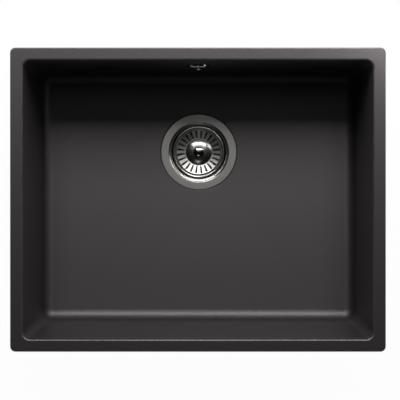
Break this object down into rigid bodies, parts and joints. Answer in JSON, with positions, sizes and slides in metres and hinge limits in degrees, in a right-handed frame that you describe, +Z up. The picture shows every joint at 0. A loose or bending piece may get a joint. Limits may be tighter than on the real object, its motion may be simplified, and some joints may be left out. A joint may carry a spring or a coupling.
{
  "type": "kitchen sink",
  "caption": "Rectangular moulded resin sink bowl with a narrow flat rim, a slotted lift-out strainer basket that also seals the waste, and a slim ducted overflow.",
  "frame": {"origin": "centre of the rim's top face, level with the worktop side of the rim", "axes": "+X to the right, +Y to the back where the overflow is, +Z up"},
  "size_m": [0.525, 0.4275, 0.282],
  "materials": {
    "resin": "matte black moulded resin with a fine mineral grain",
    "satin_steel": "satin stainless steel",
    "polished_steel": "polished stainless steel",
    "screw_steel": "plain stainless steel",
    "knob_chrome": "polished chrome plate",
    "rosette_chrome": "polished chrome plate",
    "brass": "plain brass",
    "rubber": "matte black rubber",
    "grey_plastic": "matte grey polypropylene"
  },
  "bodies": {
    "sink": {"sink_bowl": "resin", "waste_flange": "satin_steel", "flange_gasket": "rubber", "lower_seal": "rubber", "waste_body": "grey_plastic", "clamp_screw": "screw_steel", "clamp_washer": "screw_steel", "clamp_nut": "brass", "overflow_rosette": "rosette_chrome", "overflow_screw": "screw_steel", "overflow_gasket": "rubber", "overflow_housing": "grey_plastic", "overflow_nut": "brass", "overflow_duct": "grey_plastic", "upper_duct_seal": "rubber", "lower_duct_seal": "rubber"},
    "basket_catch": {"catch_clip": "screw_steel"},
    "basket": {"strainer_basket": "polished_steel", "basket_knob": "knob_chrome", "basket_post": "screw_steel", "stopper": "rubber", "stopper_washer": "screw_steel"}
  },
  "joints": [
    {"name": "basket_lift", "type": "slide", "parent": "sink", "child": "basket_catch", "axis": [0, 0, 1], "range_m": [0, 0.04]},
    {"name": "basket_turn", "type": "hinge", "parent": "basket_catch", "child": "basket", "pos_m": [0, 0.068, -0.2242], "axis": [0, 0, 1], "continuous": true}
  ]
}
